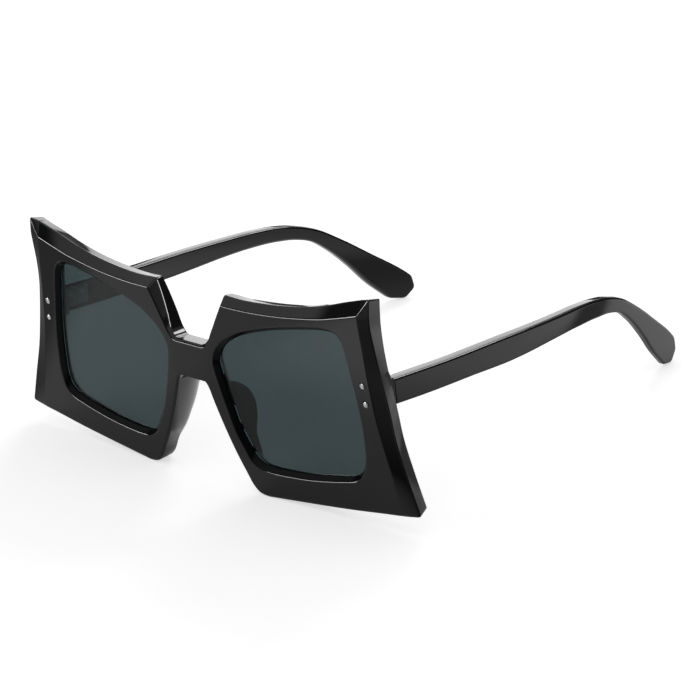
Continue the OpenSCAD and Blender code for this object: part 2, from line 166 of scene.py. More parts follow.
# %% [markdown]
# ## Nodes and colours
#
# Colours are written as they look on a screen, in hex, and turned to linear light by one function.
# One helper adds a shader or geometry node, sets it up and links its inputs. Small ones on top of it
# take up what comes again: arithmetic, noise, glow, mixing and soft steps.

# %% Node helpers
def linear(code):
    channels = [int(code[i:i + 2], 16) / 255 for i in (1, 3, 5)]
    return tuple(c / 12.92 if c <= 0.04045 else ((c + 0.055) / 1.055) ** 2.4 for c in channels) + (1.0,)


def add(tree, kind, inputs=None, **settings):
    node = tree.nodes.new(kind)
    for name, value in settings.items():
        setattr(node, name, value)
    for name, value in (inputs or {}).items():
        if isinstance(value, bpy.types.NodeSocket):
            tree.links.new(value, node.inputs[name])
        else:
            node.inputs[name].default_value = value
    return node


def calc(tree, operation, a, b):
    """One step of arithmetic on two values."""
    return add(tree, "ShaderNodeMath", {0: a, 1: b}, operation=operation).outputs[0]


def noise(tree, mm, detail, stretch=None):
    """Noise about mm wide that is fixed to the piece, stretched if asked."""
    spot = add(tree, "ShaderNodeTexCoord").outputs["Object"]
    if stretch:
        spot = add(tree, "ShaderNodeMapping", {"Vector": spot, "Scale": stretch}).outputs[0]
    made = add(tree, "ShaderNodeTexNoise", {"Vector": spot, "Scale": 1000 / mm, "Detail": detail})
    return made.outputs["Fac"]


def spread(tree, value, low, high):
    """A value from 0 to 1 turned into one from low to high."""
    return add(tree, "ShaderNodeMapRange", {"Value": value, "To Min": low, "To Max": high}).outputs[0]


def soft_step(tree, value, low, high, at_low=0.0, at_high=1.0):
    """A soft step from at_low to at_high while the value goes from low to high."""
    return add(tree, "ShaderNodeMapRange", {
        "Value": value, "From Min": low, "From Max": high, "To Min": at_low, "To Max": at_high},
        interpolation_type="SMOOTHSTEP").outputs[0]


def glowing(tree, strength, kind="ShaderNodeEmission"):
    return add(tree, kind, {"Color": linear("#ffffff"), "Strength": strength}).outputs[0]


def mixed(tree, share, a, b):
    return add(tree, "ShaderNodeMixShader", {0: share, 1: a, 2: b}).outputs[0]


def new_material(name):
    material = bpy.data.materials.new(name)
    material.use_nodes = True
    material.node_tree.nodes.clear()
    return material, material.node_tree


def surface(tree, shader):
    add(tree, "ShaderNodeOutputMaterial", {"Surface": shader})


def body(tree, inputs):
    """A principled surface with these inputs."""
    surface(tree, add(tree, "ShaderNodeBsdfPrincipled", inputs).outputs[0])


print("white is", linear("#ffffff"), "mid grey is", round(linear("#808080")[0], 3))

# %% [markdown]
# ## Studio
#
# Black gloss shows what is round it more than its own colour, so the studio is built by its
# reflections. A white table gives the dark grey of the faces, with brighter and dimmer zones
# painted on it as painted light and painted shade that only reflections see. A dim room and a
# painted shadow on the table give the black bands on the bevels, a soft box high behind the table
# draws the white lines on the top edges, and six cards that only reflections show draw the lines
# on the other edges and the light strips on top of the temples. The table and the surround are made
# white for the camera, and for what is seen through a lens, by Light Path, and not by more light.

# %% Table and surround
TABLE_R = 600
# Brightness, where 1 is white: the even lift the camera sees, then the glow and the painted shade levels
# that only reflections see
TABLE_LIFT, TABLE_GLOW, PAINTED_SHADE, PAINTED_SHADE_LEFT = 0.60, 0.08, 0.1, 0.24
SURROUND_LEVEL, WALL_LEVEL, CEILING_LEVEL = 0.5, 0.06, 0.62
bpy.context.scene.view_settings.view_transform = "Standard"


def seen_directly(tree):
    """The light path, and whether a place is seen by the camera, itself or through a lens."""
    path = add(tree, "ShaderNodeLightPath").outputs
    return path, calc(tree, "MAXIMUM", path["Is Camera Ray"], path["Is Transmission Ray"])


def sheet(name, corners, material):
    mesh = new_mesh(name, corners, [tuple(range(len(corners)))])
    mesh.materials.append(material)
    made = new_object(name, mesh)
    return made


table_paint, table = new_material("matt_white_table_painted_reflections")
table_spot = add(table, "ShaderNodeTexCoord").outputs["Object"]


def along(x, y, *ends):
    """A soft step over the table: x and y weigh the place in mm, and its ends follow."""
    place = add(table, "ShaderNodeVectorMath", {0: table_spot, 1: (1000.0 * x, 1000.0 * y, 0.0)},
                operation="DOT_PRODUCT")
    return soft_step(table, place.outputs["Value"], *ends)


def zone(*steps):
    """The product of steps over the table, so a zone is where all of them are."""
    made = 1.0
    for step in steps:
        made = calc(table, "MULTIPLY", made, along(*step))
    return made


# Painted light: reflections alone see the table brighter in these zones, where it glows
painted_lighter = [
    # Close behind the rims
    zone((0, 1, -68, -60), (0, 1, -25, 0, 0.75, 0.0), (1, 0, -60, -40), (1, 0, 30, 50, 1.0, 0.0)),
    # Towards the back, on the right and on the left
    zone((0, 1, 0, 150, 0.0, 0.36), (1, 0, 30, 90)),
    zone((0, 1, 10, 50, 0.0, 0.7), (-1, 0, 20, 60)),
    # Beyond the near temple, far out and nearer
    zone((1, 0, 141, 165, 0.0, 0.5), (0, 1, 40, 70)),
    zone((1, 0, 108, 124), (0, 1, 85, 135, 0.26, 0.0), (0, 1, -15, 5)),
    # In front of the rims
    zone((1, 0, -50, -22, 0.0, 0.42), (0, -1, 118, 160)),
    # Between the temples
    zone((1, 0, -12, -2), (1, 0, 26, 36, 1.0, 0.0), (0, 1, 20, 100, 0.55, 0.0), (0, 1, -15, 5)),
]
# And painted shade: reflections alone see it dimmer in these, down to a level
painted_darker = [
    # Between the tips, far out on the right, and beside the near rim
    (zone((-1, 0, -8, 10), (1, 0, -62, -50), (0, 1, 60, 68), (0, -1, -94, -84, 0.0, 0.58)), PAINTED_SHADE),
    (zone((1, 0, 146, 215, 0.0, 0.68)), PAINTED_SHADE),
    (zone((1, 0, 78, 95), (0, 1, -10, 40, 0.45, 0.0)), PAINTED_SHADE),
    # A band along the near temple, short of what its bend mirrors
    (zone((-1, 0.4, -80, -71, 0.0, 0.82), (1, -0.4, 50, 57), (1, 0, 62, 78)), PAINTED_SHADE),
    # On the left
    (zone((-1, 1, 8, 24), (-1, 0, 62, 86), (0, 1, 10, 40, 1.0, 0.0)), PAINTED_SHADE_LEFT),
    # A painted shadow, which fades towards the front
    (zone((1, -0.77, 127, 142), (0, -1, 62, 74)), along(0, -1, 90, 260, 0.015, 0.32)),
]
matt = add(table, "ShaderNodeBsdfDiffuse", {"Color": linear("#e6e6e6")}).outputs[0]
to_camera = add(table, "ShaderNodeAddShader", {0: matt, 1: glowing(table, TABLE_LIFT)}).outputs[0]
glow = TABLE_GLOW
for share in painted_lighter:
    glow = calc(table, "ADD", glow, share)
mirrored_painted = add(table, "ShaderNodeAddShader", {0: matt, 1: glowing(table, glow)}).outputs[0]
for share, level in painted_darker:
    mirrored_painted = mixed(table, share, mirrored_painted, glowing(table, level))
# Only reflections see the painted light and painted shade; the camera sees the even lift
path, seen = seen_directly(table)
mirrored_only = calc(table, "MULTIPLY", path["Is Glossy Ray"], calc(table, "SUBTRACT", 1.0, seen))
surface(table, mixed(table, mirrored_only, mixed(table, seen, matt, to_camera), mirrored_painted))
angles = [math.radians(5 * k) for k in range(72)]
sheet("table", [(TABLE_R * math.cos(a), TABLE_R * math.sin(a), 0) for a in angles], table_paint)

world = bpy.data.worlds.new("surround")
bpy.context.scene.world = world
world.use_nodes = True
sky = world.node_tree
sky.nodes.clear()
spot = add(sky, "ShaderNodeTexCoord").outputs["Generated"]
height = add(sky, "ShaderNodeSeparateXYZ", {0: spot}).outputs["Z"]
# In reflections the walls are dim and the ceiling is brighter
ceiling = soft_step(sky, height, 0.40, 0.55, WALL_LEVEL, CEILING_LEVEL)
levels = (ceiling, SURROUND_LEVEL, 1.0)
room, soft, white = (glowing(sky, level, "ShaderNodeBackground") for level in levels)
path, seen = seen_directly(sky)
around = mixed(sky, seen, mixed(sky, path["Is Glossy Ray"], soft, room), white)
add(sky, "ShaderNodeOutputWorld", {"Surface": around})
print("table has", len(painted_lighter), "lighter and", len(painted_darker), "darker zones, surround is set")

# %% Lamps
# Lamps and cards stand far off, so their places and sizes are in metres
LAMP_AIM, CARD_AIM = Vector((0, 0, 0.03)), Vector((0.0, -0.03, 0.035))


def soft_box(name, where, size, level):
    """A rectangular lamp whose face has the given brightness, where 1 is white."""
    lamp = bpy.data.lights.new(name, "AREA")
    lamp.shape = "RECTANGLE"
    lamp.size, lamp.size_y = size
    lamp.energy = level * math.pi * size[0] * size[1]
    holder = new_object(name, lamp)
    holder.location = where
    holder.rotation_euler = (LAMP_AIM - Vector(where)).to_track_quat("-Z", "Y").to_euler()


def reflector(name, where, size, level):
    """A bright card that only reflections show, so it draws lines on edges and lights nothing."""
    card, tree = new_material(name + "_card")
    path = add(tree, "ShaderNodeLightPath").outputs
    surface(tree, glowing(tree, calc(tree, "MULTIPLY", path["Is Glossy Ray"], level)))
    ahead = (CARD_AIM - Vector(where)).normalized()
    wide = ahead.cross(Vector((0, 0, 1))).normalized() * size[0] / 2
    tall = wide.cross(ahead).normalized() * size[1] / 2
    signs = ((-1, -1), (1, -1), (1, 1), (-1, 1))
    made = sheet(name, [(Vector(where) + wide * a + tall * b) * 1000.0 for a, b in signs], card)
    made.visible_camera = made.visible_diffuse = made.visible_shadow = made.visible_transmission = False


soft_box("soft_box_behind", (-0.30, 0.68, 0.66), (0.34, 0.20), 6.6)
soft_box("spill_behind", (-0.51, 0.84, 0.35), (0.40, 0.16), 3.0)
reflector("strip_front_left", (-0.66, -0.74, 0.11), (0.40, 0.14), 16.0)
reflector("strip_right", (0.85, 0.21, 0.44), (0.24, 0.20), 20.0)
reflector("card_behind_right", (0.37, 0.68, 0.69), (0.26, 0.18), 14.0)
reflector("card_left", (-0.66, 0.46, 0.57), (0.22, 0.20), 8.0)
reflector("card_above_left", (-0.43, 0.41, 0.80), (0.20, 0.14), 8.0)
reflector("card_low_behind", (-0.58, 0.65, 0.29), (0.32, 0.32), 2.4)
print("one soft box, its spill and six cards")

# %% [markdown]
# ## Polished black acetate
#
# The front, the pads and the temples are cut from black cellulose acetate sheet and tumbled to a
# high polish. Tumbling leaves a very smooth skin that is not quite flat: it waves a little over a
# few millimetres, and a faint haze lies on it. So the finish is a near-black plastic with a low
# roughness that varies slightly, and a very shallow bump.

# %% Acetate
ACETATE_IOR = 1.48
acetate, tree = new_material("black_acetate_tumble_polished")
# Haze from tumbling varies over about 9 mm, and the skin waves over about 6 mm
rough = spread(tree, noise(tree, 9, 3.0), 0.05, 0.10)
skin = add(tree, "ShaderNodeBump", {
    "Height": noise(tree, 6, 1.0), "Strength": 0.12, "Distance": 0.12 / 1000})
body(tree, {"Base Color": linear("#0e0f0f"), "Roughness": rough, "IOR": ACETATE_IOR,
            "Normal": skin.outputs["Normal"]})

# Painted shade: the lips of the windows get a darker colour and a dull skin that mirrors very
# little, so they stay black
painted_shade_lips, tree = new_material("black_acetate_painted_shade_lips")
rough = spread(tree, noise(tree, 3, 2.0), 0.12, 0.24)
body(tree, {"Base Color": linear("#090a0a"), "Roughness": rough, "IOR": ACETATE_IOR,
            "Specular IOR Level": 0.12})
print("acetate ready, polished and milled")

# %% [markdown]
# ## Tinted lens
#
# A sun lens is a clear plastic dyed in the mass, grey with a touch of green, that lets about a
# twentieth of the light through. It is smooth and clear, so it needs real transmission: what lies
# behind it stays sharp but dark, and the surround is mirrored on its face.

# %% Lens tint
tint, tree = new_material("grey_green_dyed_lens")
# A faint cloud in the dye, about 25 mm across
cloud = noise(tree, 25, 1.0)
dye = add(tree, "ShaderNodeMix", {0: cloud, 6: linear("#2d3a3c"), 7: linear("#323f41")}, data_type="RGBA")
body(tree, {"Base Color": dye.outputs[2], "Roughness": 0.015, "IOR": 1.40, "Transmission Weight": 1.0})
print("lens ready")

# %% [markdown]
# ## Metals
#
# The rivet heads are stainless steel, tumbled with the front, so their shine is soft and catches
# light from all round. The screws are polished. The hinges are nickel silver, cut from strip, so
# they carry fine lines along their length. The wire in the temple is drawn steel.

# %% Metals
def metal(name, shade, rough, grain_mm, stretch, depth_mm):
    material, tree = new_material(name)
    grain = noise(tree, grain_mm, 4.0, stretch)
    vary = spread(tree, grain, rough * 0.7, rough * 1.3)
    lines = add(tree, "ShaderNodeBump", {"Height": grain, "Strength": 0.3, "Distance": depth_mm / 1000})
    body(tree, {"Base Color": linear(shade), "Metallic": 1.0, "Roughness": vary,
                "Normal": lines.outputs["Normal"]})
    return material


polished_steel = metal("stainless_steel_polished", "#dcddde", 0.16, 0.4, (1, 1, 1), 0.01)
tumbled_steel = metal("stainless_steel_tumbled", "#f4f5f5", 0.42, 0.4, (1, 1, 1), 0.01)
nickel_silver = metal("nickel_silver_strip", "#b4b1aa", 0.28, 0.3, (1, 0.15, 1), 0.02)
drawn_wire = metal("steel_wire_drawn", "#a5a5a3", 0.3, 0.3, (1, 0.08, 1), 0.02)
print("four metals")

# %% [markdown]
# ## Mesh helpers
#
# Most pieces here are shells lofted between rings of points. A small builder keeps the points in
# millimetres, so that each piece is written as it would be drawn. When it is done it closes the
# shell, turns the faces outwards, keeps real corners sharp and lets large flat faces decide the
# shading, which leaves them flat right up to their rounded edges.

# %% Mesh helpers
def to_mesh(name, points, faces, material, second=None, second_faces=()):
    """A closed piece from points in mm. The second faces get the second material."""
    mesh = new_mesh(name, points, faces)
    for k in second_faces:
        mesh.polygons[k].material_index = 1
    shell = bmesh.new()
    shell.from_mesh(mesh)
    bmesh.ops.remove_doubles(shell, verts=shell.verts, dist=1e-6)
    bmesh.ops.recalc_face_normals(shell, faces=shell.faces)
    shell.to_mesh(mesh)
    shell.free()
    mesh.materials.append(material)
    if second:
        mesh.materials.append(second)
    return new_object(name, mesh)


def wall(rings, n):
    """The faces between rings of n points each."""
    return [(i * n + k, i * n + (k + 1) % n, (i + 1) * n + (k + 1) % n, (i + 1) * n + k)
            for i in range(rings - 1) for k in range(n)]


def loft(name, rings):
    """A shell of acetate through rings of points, closed by a flat cap at each end."""
    n = len(rings[0])
    caps = [tuple(range(n)), tuple(range((len(rings) - 1) * n, len(rings) * n))]
    return to_mesh(name, [p for ring in rings for p in ring], wall(len(rings), n) + caps, acetate)


def settle(piece):
    """Puts what the modifiers make into the piece's own mesh."""
    graph = bpy.context.evaluated_depsgraph_get()
    shape = piece.evaluated_get(graph)
    made = bpy.data.meshes.new_from_object(shape, preserve_all_data_layers=True, depsgraph=graph)
    piece.modifiers.clear()
    piece.data = made
    return piece


def polish(piece, corner=38.0):
    """Smooth shading that keeps edges sharper than the corner, in degrees."""
    piece.data.shade_smooth()
    piece.data.set_sharp_from_angle(angle=math.radians(corner))
    weighted = piece.modifiers.new("weighted", "WEIGHTED_NORMAL")
    weighted.keep_sharp = True
    settle(piece)


def combine(piece, tools, operation):
    for tool in tools:
        cut = piece.modifiers.new("cut", "BOOLEAN")
        cut.operation, cut.solver, cut.object = operation, "EXACT", tool
    settle(piece)
    for tool in tools:
        bpy.data.objects.remove(tool)


def block(low, high, put):
    """A box between two drawn corners."""
    points = [(x, y, z) for x in (low[0], high[0]) for y in (low[1], high[1]) for z in (low[2], high[2])]
    faces = [(0, 1, 3, 2), (4, 6, 7, 5), (0, 4, 5, 1), (2, 3, 7, 6), (0, 2, 6, 4), (1, 5, 7, 3)]
    return to_mesh("block", [put(*p) for p in points], faces, acetate)


def turned(profile, put, steps=40):
    """A turned shape: profile rows are radius and height along the drawn axis, which put places."""
    angles = [2 * math.pi * k / steps for k in range(steps)]
    return loft("turned", [[put(radius * math.cos(a), height, radius * math.sin(a)) for a in angles]
                           for radius, height in profile])


print("mesh helpers ready")

# %% [markdown]
# ## Smooth outlines
#
# The drawing gives each outline by a few rows of numbers. Between its corners an outline is a
# smooth run through its rows, and each corner gets a small radius, as tumbling leaves it. A row may
# hold more than one point, here the outer edge and the edge of the flat face, so that both stay
# in step.

# %% Outline helpers
def flat_gap(a, b):
    return math.hypot(a[0] - b[0], a[1] - b[1])


def smooth_run(rows, step):
    """Rows on a smooth curve through the given rows, about step mm apart."""
    size = range(len(rows[0]))
    spans = [max(flat_gap(a, b), 0.05) for a, b in zip(rows, rows[1:])]
    slopes = [[(b[k] - a[k]) / s for k in size] for a, b, s in zip(rows, rows[1:], spans)]
    tangents = [slopes[0]]
    for i in range(1, len(rows) - 1):
        before, after = spans[i - 1], spans[i]
        tangents.append([(slopes[i - 1][k] * after + slopes[i][k] * before) / (before + after)
                         for k in size])
    tangents.append(slopes[-1])
    made = []
    for i, span in enumerate(spans):
        count = max(1, math.ceil(span / step))
        for j in range(count):
            t = j / count
            h = (2 * t**3 - 3 * t**2 + 1, t**3 - 2 * t**2 + t, 3 * t**2 - 2 * t**3, t**3 - t**2)
            made.append([h[0] * rows[i][k] + h[1] * span * tangents[i][k] + h[2] * rows[i + 1][k]
                         + h[3] * span * tangents[i + 1][k] for k in size])
    return made + [list(rows[-1])]


def even_run(rows, count, step):
    """The smooth curve through the rows, cut into count equal steps."""
    dense = smooth_run(rows, step)
    total = [0.0]
    for a, b in zip(dense, dense[1:]):
        total.append(total[-1] + flat_gap(a, b))
    made, i = [], 0
    for k in range(count + 1):
        want = total[-1] * k / count
        while i < len(dense) - 2 and total[i + 1] < want:
            i += 1
        t = (want - total[i]) / max(total[i + 1] - total[i], 1e-9)
        made.append([a + (b - a) * t for a, b in zip(dense[i], dense[i + 1])])
    return made


def shorten(run, by, from_end):
    """The run without its last by mm (or its first), ending on an exact point."""
    rows = run[::-1] if from_end else list(run)
    left = by
    while len(rows) > 2 and flat_gap(rows[0], rows[1]) < left:
        left -= flat_gap(rows[0], rows[1])
        rows.pop(0)
    share = min(left / max(flat_gap(rows[0], rows[1]), 1e-6), 0.9)
    rows[0] = [a + (b - a) * share for a, b in zip(rows[0], rows[1])]
    return rows[::-1] if from_end else rows


def arc_point(a, corner, b, t):
    """A point of the rounded strip from a to b, a share t of the way."""
    return [(1 - t)**2 * p + 2 * t * (1 - t) * c + t**2 * q for p, c, q in zip(a, corner, b)]


def round_corners(runs, radii, steps=4):
    """Joins runs end to start, with a rounded corner between each two."""
    made = list(runs[0])
    for run, radius in zip(runs[1:], radii):
        made = shorten(made, radius, True)
        rest = shorten(run, radius, False)
        made += [arc_point(made[-1], run[0], rest[0], j / steps) for j in range(1, steps)] + rest
    return made


def normals(points):
    """Unit normals to the left of the way along a closed line of points."""
    made = []
    for i in range(len(points)):
        a, b = points[i - 1], points[(i + 1) % len(points)]
        d = Vector((b[0] - a[0], b[1] - a[1])).normalized()
        made.append((-d[1], d[0]))
    return made


print("outline helpers ready")

# %% [markdown]
# ## Front
#
# The front is one thick slab with wide bevels cut along its brow and its outer side, and a narrow
# softening elsewhere. Bevels that meet at a mitre, as in a picture frame, are easiest as rings that
# all have the same number of points: the edge of the flat face, the outer edge, the side and the
# back. Between the rings, each meeting edge gets a small rounded strip, because that strip is what
# catches the light.

# %% Outline of a rim
# Shares: outer edge across, its height and depth, the face's edge across and its height. Last, how
# far the side slants inwards to the back, in mm
rim_rows = [
    (0.000, 0.639, 0.25, 0.000, 0.630, 0.7), (0.014, 0.644, 0.29, 0.015, 0.633, 0.6),
    (0.026, 0.657, 0.35, 0.030, 0.648, 0.3), (0.057, 0.730, 0.73, 0.067, 0.715, 0.0),
    (0.089, 0.807, 1.04, 0.101, 0.784, 0.0), (0.117, 0.873, 1.19, 0.131, 0.843, 0.4),
    (0.204, 0.870, 1.04, 0.211, 0.840, 0.5), (0.300, 0.873, 1.00, 0.300, 0.841, 0.5),
    (0.409, 0.882, 1.00, 0.409, 0.848, 0.5), (0.518, 0.898, 1.00, 0.518, 0.861, 0.5),
    (0.613, 0.921, 1.00, 0.613, 0.876, 0.5), (0.715, 0.956, 0.92, 0.708, 0.899, 0.6),
    (0.807, 0.986, 0.77, 0.789, 0.921, 0.6), (0.849, 1.000, 0.38, 0.794, 0.921, 0.5),
    (0.848, 0.932, 0.17, 0.796, 0.914, 0.5), (0.846, 0.879, 0.22, 0.800, 0.870, 0.5),
    (0.849, 0.796, 0.42, 0.809, 0.792, 0.6), (0.860, 0.689, 0.58, 0.817, 0.686, 0.7),
    (0.872, 0.616, 0.58, 0.824, 0.612, 0.8), (0.890, 0.517, 0.54, 0.835, 0.512, 1.0),
    (0.913, 0.390, 0.38, 0.858, 0.385, 1.5), (0.955, 0.242, 0.23, 0.888, 0.237, 2.0),
    (1.000, 0.089, 0.15, 0.917, 0.089, 2.2), (0.921, 0.074, 0.19, 0.910, 0.080, 1.2),
    (0.837, 0.063, 0.19, 0.837, 0.071, 0.8), (0.681, 0.042, 0.19, 0.681, 0.050, 0.5),
    (0.545, 0.027, 0.19, 0.545, 0.035, 0.2), (0.395, 0.012, 0.19, 0.395, 0.020, 0.0),
    (0.300, 0.003, 0.19, 0.300, 0.011, 0.0), (0.248, 0.000, 0.19, 0.251, 0.008, 0.0),
    (0.213, 0.009, 0.19, 0.218, 0.016, 0.0), (0.188, 0.033, 0.19, 0.195, 0.038, 0.0),
    (0.155, 0.094, 0.19, 0.162, 0.098, 0.0), (0.117, 0.169, 0.19, 0.124, 0.174, 0.0),
    (0.082, 0.251, 0.19, 0.089, 0.255, 0.0), (0.052, 0.329, 0.19, 0.059, 0.334, 0.0),
    (0.027, 0.402, 0.19, 0.034, 0.406, 0.0), (0.014, 0.444, 0.19, 0.020, 0.450, 0.0),
    (0.005, 0.464, 0.19, 0.008, 0.471, 0.0), (0.000, 0.470, 0.19, 0.000, 0.477, 0.0),
]
CORNERS = {5: 0.5, 12: 0.3, 13: 0.5, 14: 0.6, 22: 0.9}
# How far the back edge drops at the outer top corner, in mm
DROPS = {11: 0.2, 12: 0.6, 13: 0.85, 14: 0.3}


def across(share):
    return BRIDGE_W / 2 + RIM_W * share


drawn = [[across(r[0]), RIM_H * r[1], BEVEL_D * r[2], across(r[3]), RIM_H * r[4], r[5], DROPS.get(k, 0.0)]
         for k, r in enumerate(rim_rows)]
marks = [0] + sorted(CORNERS) + [len(drawn) - 1]
runs = [smooth_run(drawn[a:b + 1], 0.9) for a, b in zip(marks, marks[1:])]
rim = round_corners(runs, [CORNERS[k] for k in sorted(CORNERS)])
print("rim outline:", len(drawn), "drawn rows,", len(rim), "smooth ones")

# %% Section of a rim, from the face round its edges to the back
def towards(a, b, by):
    gap = math.dist(a, b)
    share = min(by, 0.45 * gap) / gap if gap > 1e-6 else 0.0
    return [p + (q - p) * share for p, q in zip(a, b)]


def bend(a, corner, b, steps):
    """Points of a rounded strip from a to b, without a itself."""
    return [arc_point(a, corner, b, j / steps) for j in range(1, steps + 1)]


def rim_section(row, face_round=0.4, edge_round=0.4, back_round=0.5):
    """Points across, depth and height of one section of the outer side of a rim."""
    edge_u, edge_z, edge_d, face_u, face_z, slant, drop = row
    edge, face = [edge_u, edge_d, edge_z], [face_u, 0.0, face_z]
    inward = Vector((face_u - edge_u, face_z - edge_z)).normalized()
    flat = [face_u + inward[0] * face_round, 0.0, face_z + inward[1] * face_round]
    on_bevel = towards(face, edge, face_round)
    near_edge = towards(edge, face, edge_round)
    side = [edge_u, edge_d + edge_round, edge_z]
    behind = [edge_u + inward[0] * slant, RIM_T, edge_z + inward[1] * slant - drop]
    last = [behind[0] + inward[0] * back_round, RIM_T, behind[2] + inward[1] * back_round]
    points = [flat] + bend(flat, face, on_bevel, 3) + [near_edge] + bend(near_edge, edge, side, 3)
    before = towards(behind, side, back_round)
    return points + [before] + bend(before, behind, last, 3)


opening_rows = [
    (0.620, 0.841), (0.661, 0.840), (0.692, 0.825), (0.713, 0.793), (0.726, 0.740), (0.741, 0.650),
    (0.757, 0.551), (0.768, 0.453), (0.772, 0.355), (0.770, 0.279), (0.753, 0.221), (0.715, 0.184),
    (0.654, 0.165), (0.572, 0.147), (0.477, 0.131), (0.381, 0.122), (0.293, 0.119), (0.232, 0.127),
    (0.193, 0.154), (0.166, 0.202), (0.127, 0.279), (0.101, 0.363), (0.076, 0.453), (0.059, 0.529),
    (0.053, 0.582), (0.067, 0.625), (0.101, 0.671), (0.174, 0.724), (0.266, 0.763), (0.354, 0.790),
    (0.443, 0.811), (0.545, 0.831),
]
looped = [[across(u), RIM_H * v] for u, v in opening_rows]
wide = smooth_run(looped[-3:] + looped + looped[:3], 1.1)
ends = [i for i, p in enumerate(wide) if flat_gap(p, looped[0]) < 1e-6]
opening = wide[ends[0]:ends[-1]]
opening_out = normals(opening)
LENS_BACK = RIM_T - BACK_LAND
LENS_FRONT = LENS_BACK - LENS_T
print("opening:", len(opening), "points; lens between", LENS_FRONT, "and", LENS_BACK, "mm deep")

# %% [markdown]
# The opening for a lens goes straight through, with softened lips and a groove near the back. Flat
# faces with holes in them are filled between their outlines. The other half of the front is the
# mirror image, and the bridge joins the two with the same section.

# %% Front shell
# The faces of a window's section that get the painted shade, from below its rounded edge to the lens
LIP_FROM, LIP_TO = 3, 11
LIP_ROUND, KNEE_ROUND, MOUTH_ROUND = 0.3, 0.3, 0.4


def opening_section(point, out):
    """Points of one section of a window: a slope to the lens, its groove, and a flare to the back."""
    def at(by, depth):
        return [point[0] + out[0] * by, depth, point[1] + out[1] * by]
    start, corner, knee = at(LIP_ROUND, 0), at(0, 0), at(-LIP_SLOPE, LIP_SLOPE)
    made = [start] + bend(start, corner, towards(corner, knee, 1.4 * LIP_ROUND), 4)
    before = towards(knee, corner, KNEE_ROUND)
    made += [before] + bend(before, knee, at(-LIP_SLOPE, LIP_SLOPE + 0.2), 3)
    groove, behind = GROOVE_D - LIP_SLOPE, REAR_EASE - LIP_SLOPE
    groove_front, groove_back = LENS_FRONT - PLAY, LENS_BACK + PLAY
    made += [at(-LIP_SLOPE, groove_front), at(groove, groove_front), at(groove, groove_back)]
    land, mouth = at(behind, LENS_BACK + REAR_LAND), at(behind + REAR_FLARE, RIM_T)
    near = towards(mouth, land, MOUTH_ROUND)
    made += [at(behind, groove_back), land, near]
    return made + bend(near, mouth, at(behind + REAR_FLARE + MOUTH_ROUND, RIM_T), 3)


def fill(points, outer, hole):
    """Triangles between an outline and the hole inside it."""
    rings = [[Vector((points[i][0], points[i][2], 0.0)) for i in ring] for ring in (outer, hole)]
    ids = outer + hole
    return [tuple(ids[k] for k in three) for three in tessellate_polygon(rings)]


def rim_half():
    """Points and faces of the half at the wearer's left, its outer sections, and which faces are lips."""
    points, outside, inside = [], [], []
    sections = [(rim_section(row), outside) for row in rim]
    sections += [(opening_section(point, out), inside) for point, out in zip(opening, opening_out)]
    for section, lines in sections:
        lines.append(list(range(len(points), len(points) + len(section))))
        points += section
    faces, lips = [], []
    for a, b in zip(outside, outside[1:]):
        faces += [(a[j], a[j + 1], b[j + 1], b[j]) for j in range(len(a) - 1)]
    for a, b in zip(inside, inside[1:] + inside[:1]):
        lips += [len(faces) + j for j in range(LIP_FROM, LIP_TO)]
        faces += [(a[j], b[j], b[j + 1], a[j + 1]) for j in range(len(a) - 1)]
    for j in (0, -1):
        faces += fill(points, [line[j] for line in outside], [line[j] for line in inside])
    return points, faces, outside, lips


def front_shell():
    half, half_faces, outside, lips = rim_half()
    count = len(half)
    points = half + [[-p[0], p[1], p[2]] for p in half]
    faces = half_faces + [tuple(count + i for i in reversed(face)) for face in half_faces]
    top, foot = outside[0], outside[-1]
    for line in (top, foot):
        faces += [(a, b, count + b, count + a) for a, b in zip(line, line[1:])]
    for j in (0, -1):
        faces.append((top[j], count + top[j], count + foot[j], foot[j]))
    lips += [len(half_faces) + k for k in lips]
    placed = [front_point(p[0], p[1] + wrap(p[0]), p[2]) for p in points]
    # The lips get the acetate with painted shade
    return to_mesh("front", placed, faces, acetate, painted_shade_lips, lips)


front = front_shell()
print("front shell:", len(front.data.polygons), "faces")

# %% [markdown]
# ## Lugs, hinge pockets and rivet holes
#
# Behind each rim a lug carries the hinge, and the temple's end closes against it. The lug is joined
# on, and the pocket of the hinge leaf and the holes of the rivets are cut out, each with the place
# and the clearance that the solids have. A shallow ring round each rivet shows as a dark line.

# %% Lugs, pockets and holes
LUG_SLOPE = RIM_T / 3
# The upper half of a lug seen from its side: depth, from the joint's axis back, and height
lug_rows = [(-3.0, LUG_TOP + LUG_SLOPE), (-1.7, LUG_TOP + LUG_SLOPE), (-LUG_SLOPE / 2, LUG_TOP),
            (-0.35, LUG_TOP - 0.12), (-0.1, LUG_TOP - 0.35), (0.0, LUG_TOP - 0.7)]
# Its layers from the inner to the outer face, and how far each steps in
lug_layers = [(TEMPLE_IN, 0.25), (TEMPLE_IN + 0.07, 0.07), (TEMPLE_IN + 0.25, 0.0),
              (TEMPLE_OUT - 0.4, 0.0), (TEMPLE_OUT - 0.12, 0.12), (TEMPLE_OUT, 0.4)]
# How far its root, inside the rim, stays back from the outer face
LUG_TUCK, LUG_ROOT = 0.6, -2.5


def lug(put):
    """Extruded lug with its edges softened before it is joined on."""
    side = lug_rows + [(y, -z) for y, z in reversed(lug_rows)]
    rings = []
    for x, ease in lug_layers:
        tuck = LUG_TUCK if x > TEMPLE_OUT - 1.0 else 0.0
        rings.append([put(x - (tuck if y < LUG_ROOT else 0.0), y - (ease if y > -1.0 else 0.0),
                          z * (1 - ease / LUG_TOP)) for y, z in side])
    return loft("lug", rings)


